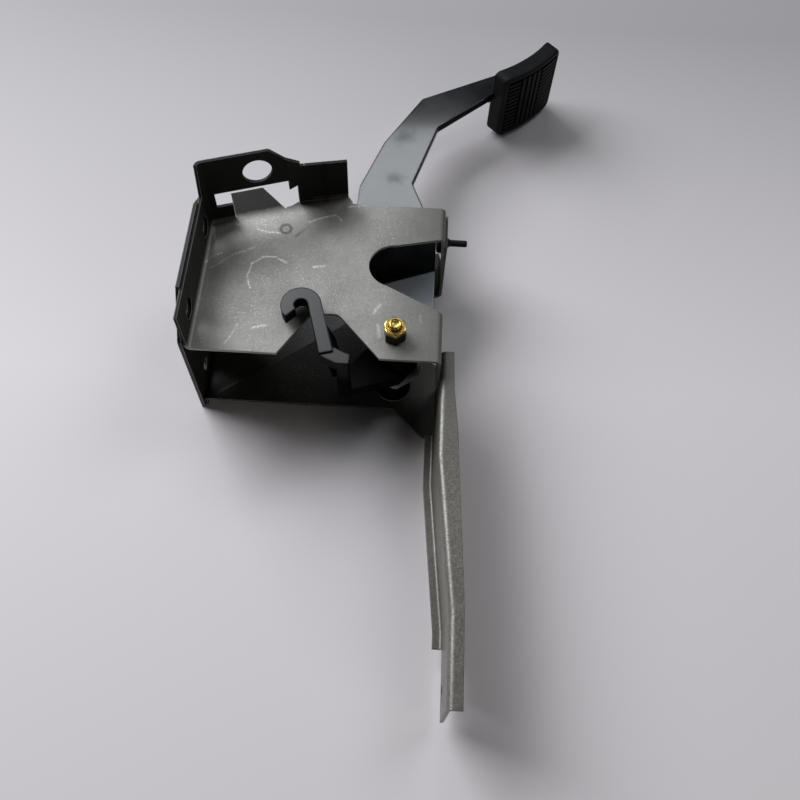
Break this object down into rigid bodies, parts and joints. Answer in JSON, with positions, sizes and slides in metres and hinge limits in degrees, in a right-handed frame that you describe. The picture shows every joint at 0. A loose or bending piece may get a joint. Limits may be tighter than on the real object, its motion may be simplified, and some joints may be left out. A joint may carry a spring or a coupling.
{
  "type": "clutch pedal",
  "caption": "Cable clutch pedal: folded sheet-steel bracket with a strut, a swinging painted arm with a cable hook, and a ribbed rubber foot pad.",
  "frame": {"origin": "on the pivot axis at the underside of the bolt head, where the part rests on the floor", "axes": "+Y from the pivot to the foot pad, +X away from the firewall plate, +Z along the pivot axis away from the floor"},
  "size_m": [0.252, 0.5226, 0.131],
  "materials": {
    "bare_steel": "dull rolled sheet",
    "galvanised_steel": "dull zinc",
    "yellow_zinc": "passivated zinc plate",
    "turned_steel": "turned",
    "black_paint": "gloss paint",
    "nylon": "moulded",
    "rubber": "moulded"
  },
  "bodies": {
    "bracket": {"right_side_plate": "bare_steel", "left_side_plate": "bare_steel", "firewall_plate": "bare_steel", "strut": "galvanised_steel", "pivot_bolt": "yellow_zinc", "pivot_washer": "yellow_zinc", "pivot_nut": "yellow_zinc", "pivot_sleeve": "turned_steel", "stop_rubber": "rubber"},
    "pedal": {"pivot_tube": "black_paint", "lower_bush": "nylon", "upper_bush": "nylon", "pedal_arm": "black_paint", "cable_hook": "black_paint", "pad_plate": "black_paint", "pad_rubber": "rubber"}
  },
  "joints": [
    {"name": "pedal_swing", "type": "hinge", "parent": "bracket", "child": "pedal", "pos_m": [0, 0, 0], "axis": [0, 0, 1], "range_deg": [0, 26]}
  ]
}
